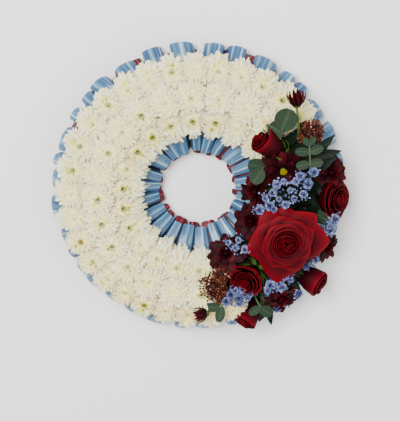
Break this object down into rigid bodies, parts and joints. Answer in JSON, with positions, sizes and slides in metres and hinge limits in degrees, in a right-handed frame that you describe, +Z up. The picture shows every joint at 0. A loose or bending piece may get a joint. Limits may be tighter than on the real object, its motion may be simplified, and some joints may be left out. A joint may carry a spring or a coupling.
{
  "type": "massed funeral wreath",
  "caption": "Flat foam ring massed with white chrysanthemum heads, pleated ribbon round its edge and hole, and a spray of red roses and dark foliage on one side.",
  "frame": {"origin": "centre of the underside, on the ring's axis", "axes": "+Z up through the ring's hole, +Y to the top of the picture, +X towards the side with the spray"},
  "size_m": [0.3656, 0.3656, 0.1034],
  "materials": {
    "foam": "dark green wet floral foam, fine matt grain",
    "white_petals": "soft ivory white petals with yellow-green eyes",
    "blue_satin": "light blue satin ribbon with bright streaks on the folds",
    "claret_satin": "claret satin ribbon",
    "red_petals": "velvety deep red rose petals, darker towards the heart",
    "burgundy_petals": "dark burgundy daisy petals, green-yellow discs",
    "skimmia_buds": "tight red-brown flower buds",
    "blue_gypsophila": "dyed blue-violet baby's breath on thin green stems",
    "eucalyptus": "waxy grey-green round leaves",
    "dark_foliage": "glossy dark green pointed leaves"
  },
  "bodies": {
    "root": {"burgundy_bud_lower_left": "burgundy_petals", "burgundy_bud_top": "burgundy_petals", "burgundy_daisy_1": "burgundy_petals", "burgundy_daisy_2": "burgundy_petals", "burgundy_daisy_3": "burgundy_petals", "burgundy_daisy_4": "burgundy_petals", "burgundy_daisy_5": "burgundy_petals", "burgundy_daisy_6": "burgundy_petals", "burgundy_daisy_7": "burgundy_petals", "dark_leaves_bottom": "dark_foliage", "dark_leaves_top": "dark_foliage", "eucalyptus_bottom": "eucalyptus", "eucalyptus_left": "eucalyptus", "eucalyptus_lower_left": "eucalyptus", "eucalyptus_sprig": "eucalyptus", "eucalyptus_top": "eucalyptus", "foam_ring": "foam", "gypsophila_below": "blue_gypsophila", "gypsophila_lower_left": "blue_gypsophila", "gypsophila_right": "blue_gypsophila", "gypsophila_upper": "blue_gypsophila", "inner_blue_ribbon": "blue_satin", "inner_claret_ribbon": "claret_satin", "inner_white_heads_1": "white_petals", "inner_white_heads_2": "white_petals", "inner_white_heads_3": "white_petals", "inner_white_heads_4": "white_petals", "inner_white_heads_5": "white_petals", "large_rose": "red_petals", "outer_blue_ribbon": "blue_satin", "outer_claret_ribbon": "claret_satin", "outer_white_heads_1": "white_petals", "outer_white_heads_2": "white_petals", "outer_white_heads_3": "white_petals", "outer_white_heads_4": "white_petals", "outer_white_heads_5": "white_petals", "rose_bottom": "red_petals", "rose_lower_left": "red_petals", "rose_lower_right": "red_petals", "rose_right": "red_petals", "rose_upper_left": "red_petals", "skimmia_lower_left": "skimmia_buds", "skimmia_top": "skimmia_buds", "white_chrysanthemum_1": "white_petals", "white_chrysanthemum_10": "white_petals", "white_chrysanthemum_11": "white_petals", "white_chrysanthemum_12": "white_petals", "white_chrysanthemum_13": "white_petals", "white_chrysanthemum_14": "white_petals", "white_chrysanthemum_15": "white_petals", "white_chrysanthemum_16": "white_petals", "white_chrysanthemum_2": "white_petals", "white_chrysanthemum_3": "white_petals", "white_chrysanthemum_4": "white_petals", "white_chrysanthemum_5": "white_petals", "white_chrysanthemum_6": "white_petals", "white_chrysanthemum_7": "white_petals", "white_chrysanthemum_8": "white_petals", "white_chrysanthemum_9": "white_petals"}
  },
  "joints": []
}
